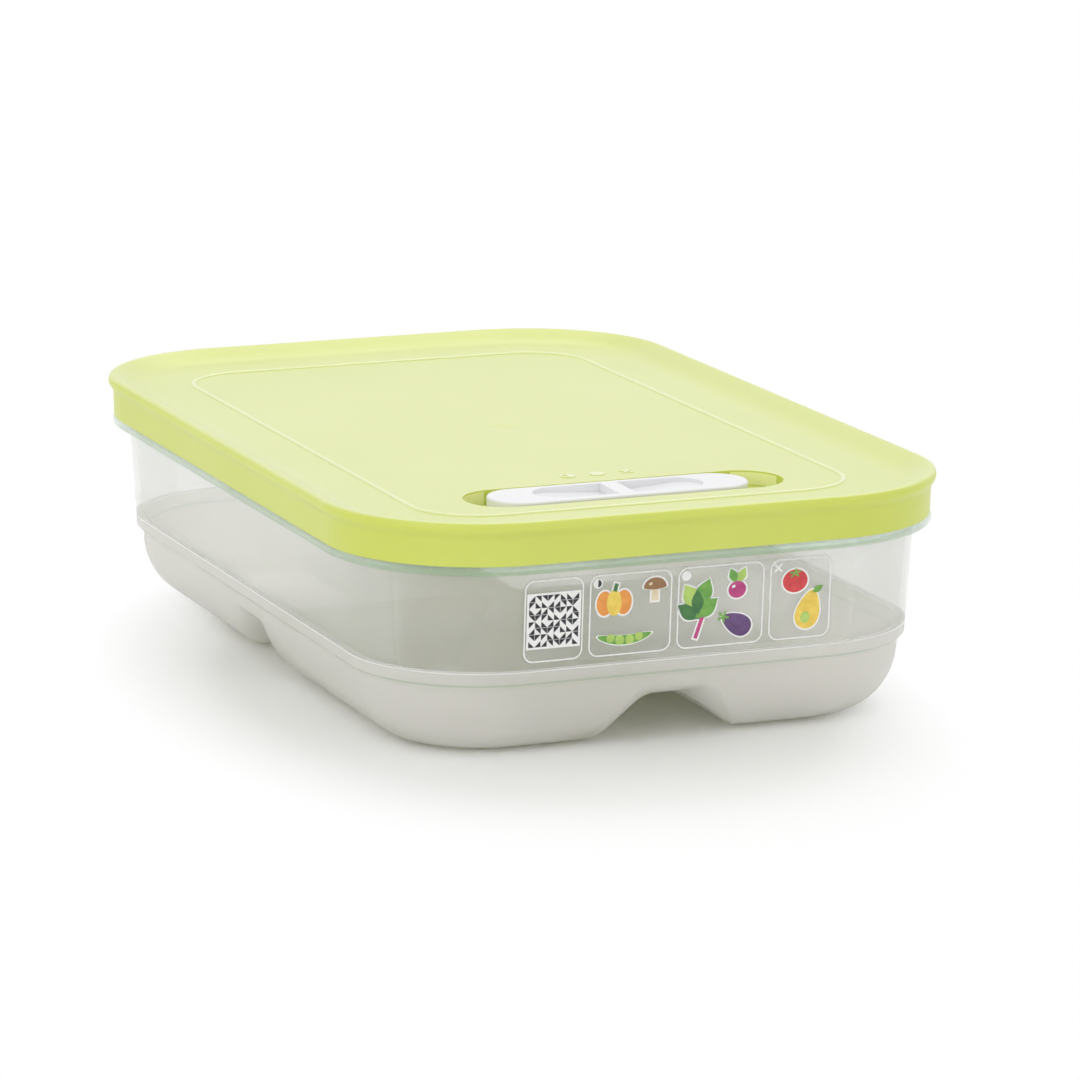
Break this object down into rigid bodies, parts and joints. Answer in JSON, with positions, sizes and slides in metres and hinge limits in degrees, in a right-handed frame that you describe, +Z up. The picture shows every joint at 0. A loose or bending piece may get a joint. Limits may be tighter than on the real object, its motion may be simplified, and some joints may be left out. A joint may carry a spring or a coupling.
{
  "type": "fridge storage container",
  "caption": "Low translucent food keeper on feet with channels between them, a press-on lid with a raised edge and a sliding air vent.",
  "frame": {"origin": "on the floor, under the middle of the tub", "axes": "+Z up, +Y along the length away from the end with the vent and the label, +X to the right of someone who looks at that end"},
  "size_m": [0.193, 0.293, 0.0728],
  "materials": {
    "tub_plastic": "translucent, frosted on the lower part",
    "lid_plastic": "lime, satin",
    "slider_plastic": "white, smooth",
    "seal_rubber": "soft, light grey",
    "keeper_plastic": "white, satin",
    "label_print": "clear film with print"
  },
  "bodies": {
    "container": {"tub": "tub_plastic", "storage_label": "label_print"},
    "cover": {"lid": "lid_plastic"},
    "vent": {"vent_slider": "slider_plastic", "vent_seal": "seal_rubber", "vent_keeper": "keeper_plastic"}
  },
  "joints": [
    {"name": "lid_lift", "type": "slide", "parent": "container", "child": "cover", "axis": [0, 0, 1], "range_m": [0, 0.1]},
    {"name": "vent_slide", "type": "slide", "parent": "cover", "child": "vent", "axis": [1, 0, 0], "range_m": [0, 0.008]}
  ]
}
